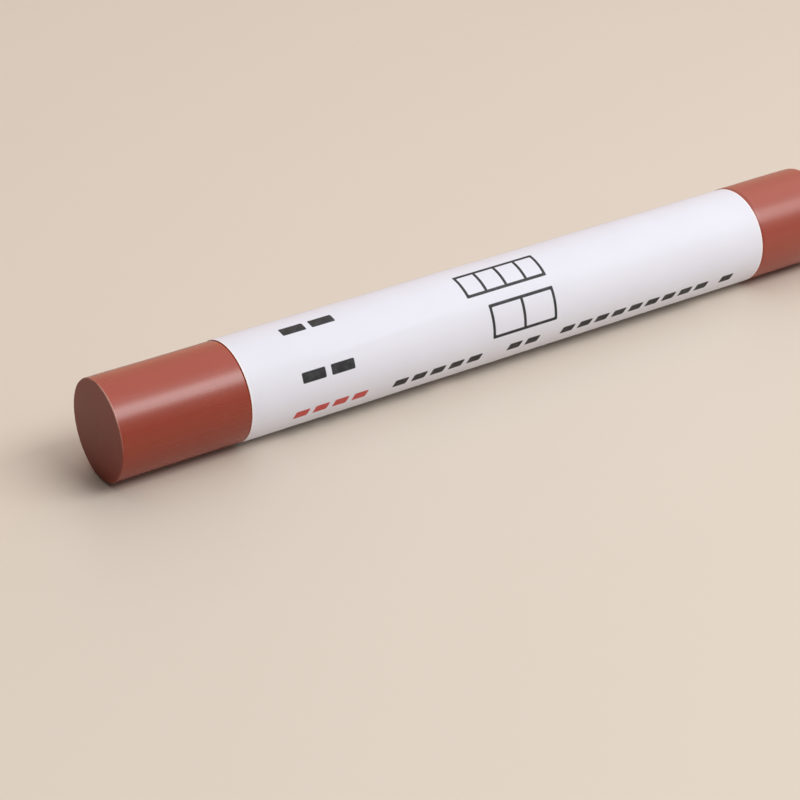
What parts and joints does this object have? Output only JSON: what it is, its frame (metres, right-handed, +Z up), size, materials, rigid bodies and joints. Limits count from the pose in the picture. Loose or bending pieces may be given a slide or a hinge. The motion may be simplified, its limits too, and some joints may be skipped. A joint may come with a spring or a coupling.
{
  "type": "furniture repair wax stick",
  "caption": "Solid round stick of red-brown hard wax for filling scratches and chips in furniture, with a white paper label wound round it and both ends bare.",
  "frame": {"origin": "on the surface the stick lies on, under the middle of its length and of its width", "axes": "+X along the stick, from the tip end to the butt end; +Z up; +Y to the back, where the label laps"},
  "size_m": [0.096, 0.0112, 0.0112],
  "materials": {
    "wax": "satin",
    "label": "satin",
    "glue": "gloss"
  },
  "bodies": {
    "root": {"wax_rod": "wax", "label_paper": "label", "label_glue": "glue"}
  },
  "joints": []
}
